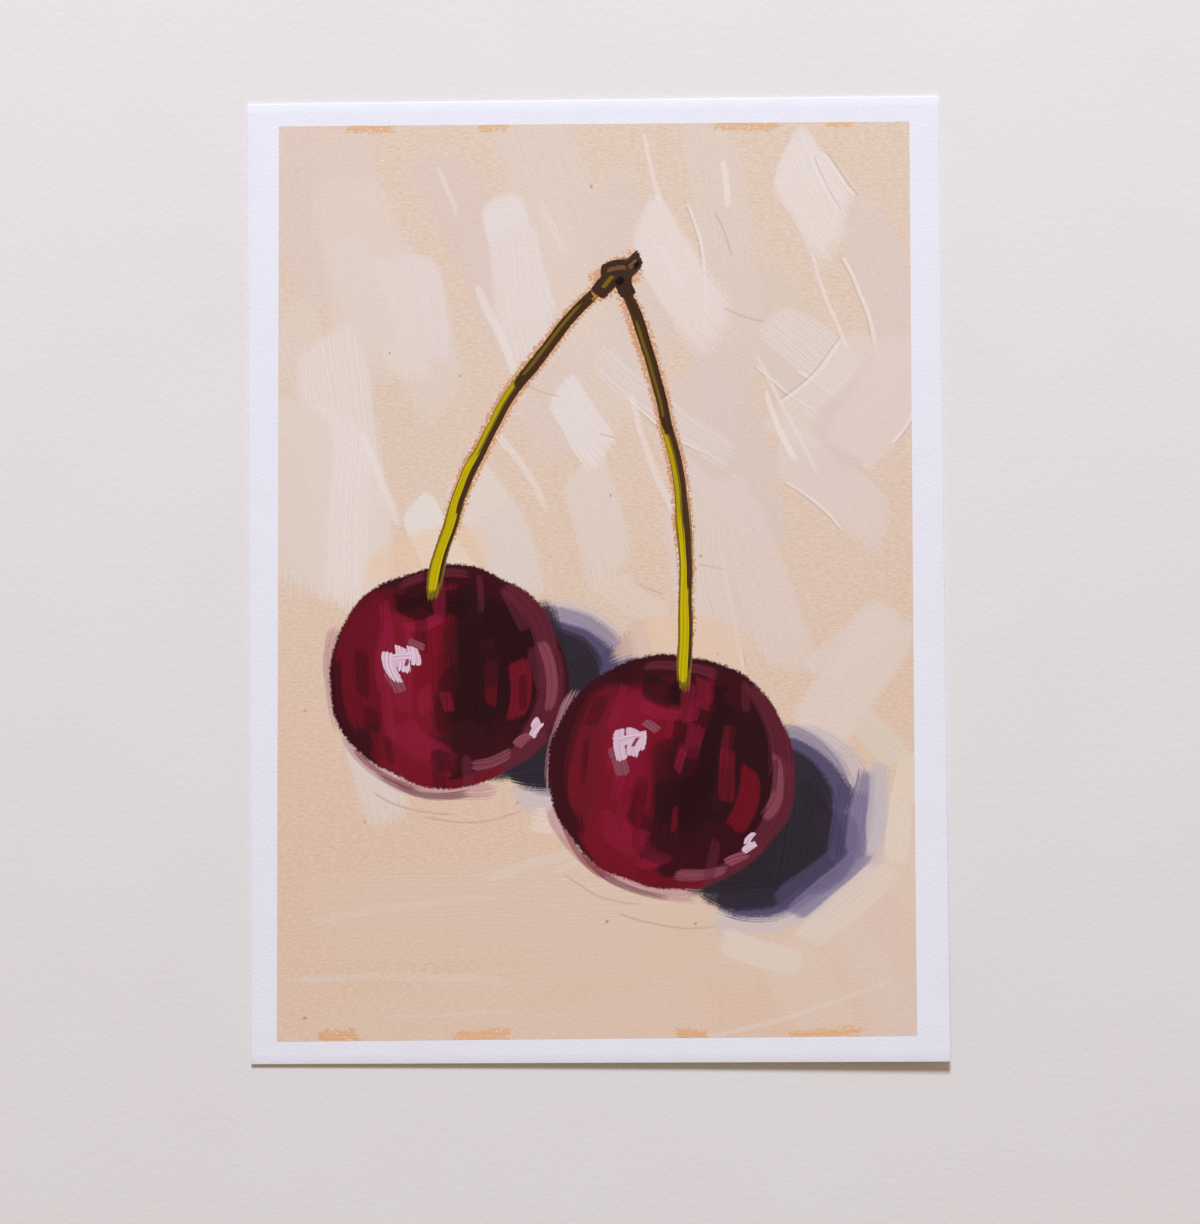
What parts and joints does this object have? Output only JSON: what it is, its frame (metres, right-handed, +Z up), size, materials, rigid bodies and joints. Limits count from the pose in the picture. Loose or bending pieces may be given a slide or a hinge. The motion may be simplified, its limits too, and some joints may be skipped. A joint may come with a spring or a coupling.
{
  "type": "art print card",
  "caption": "Flat sheet of stiff white card with a painterly picture of cherries printed inside a plain border, for display or posting.",
  "frame": {"origin": "on the table, under the middle of the sheet", "axes": "+X to the picture's right, +Y to the picture's top, +Z up out of the printed face"},
  "size_m": [0.13, 0.18, 0.0019],
  "materials": {
    "card_stock": "uncoated, matt, with a fine tooth",
    "printed_ink": "matt pigment ink on the card"
  },
  "bodies": {
    "root": {"art_card": "card_stock"}
  },
  "joints": []
}
